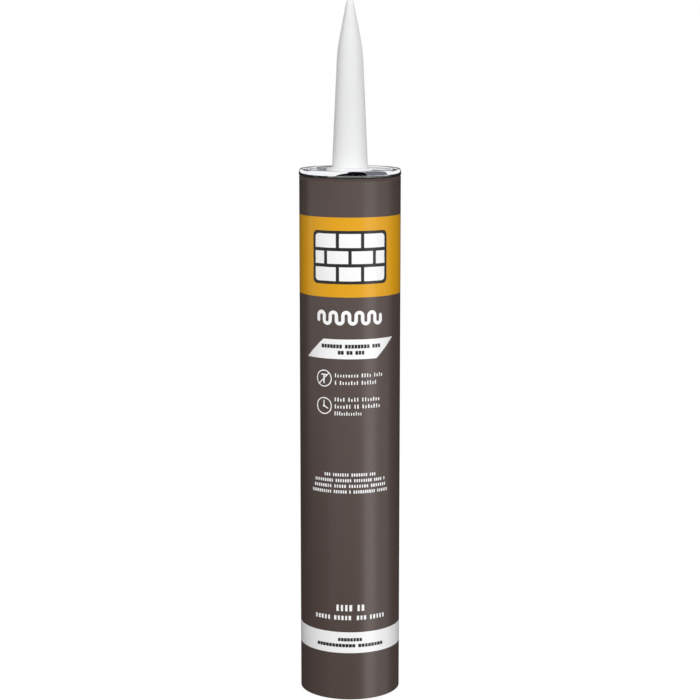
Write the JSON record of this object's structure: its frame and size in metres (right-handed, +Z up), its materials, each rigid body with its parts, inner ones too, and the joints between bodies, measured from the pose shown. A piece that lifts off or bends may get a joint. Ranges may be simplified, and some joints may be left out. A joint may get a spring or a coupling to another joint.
{
  "type": "construction adhesive cartridge",
  "caption": "Paperboard cartridge for a caulking gun: labelled tube with a rolled metal end, a tapered plastic nozzle and a sliding piston open to the rear.",
  "frame": {"origin": "centre of the rear rim, on the plane that the cartridge stands on", "axes": "+Z up the cartridge's axis towards the nozzle, -Y out of the front of the label, +X to the label's right"},
  "size_m": [0.0654, 0.0654, 0.4483],
  "materials": {
    "board": "matt wound board",
    "label_brown": "satin printed paper",
    "label_yellow": "satin printed paper",
    "label_white": "satin printed paper",
    "tinplate": "bright",
    "nozzle_plastic": "milky satin",
    "foil": "bright foil",
    "piston_plastic": "milky satin",
    "adhesive": "tan paste"
  },
  "bodies": {
    "cartridge": {"tube": "board", "label": "label_brown", "label_yellow_band": "label_yellow", "label_white_fields": "label_white", "metal_end": "tinplate", "nozzle": "nozzle_plastic", "foil_seal": "foil", "adhesive": "adhesive"},
    "piston": {"piston": "piston_plastic"}
  },
  "joints": [
    {"name": "piston_slide", "type": "slide", "parent": "cartridge", "child": "piston", "axis": [0, 0, 1], "range_m": [0, 0.2769], "deforming": ["adhesive"]}
  ]
}
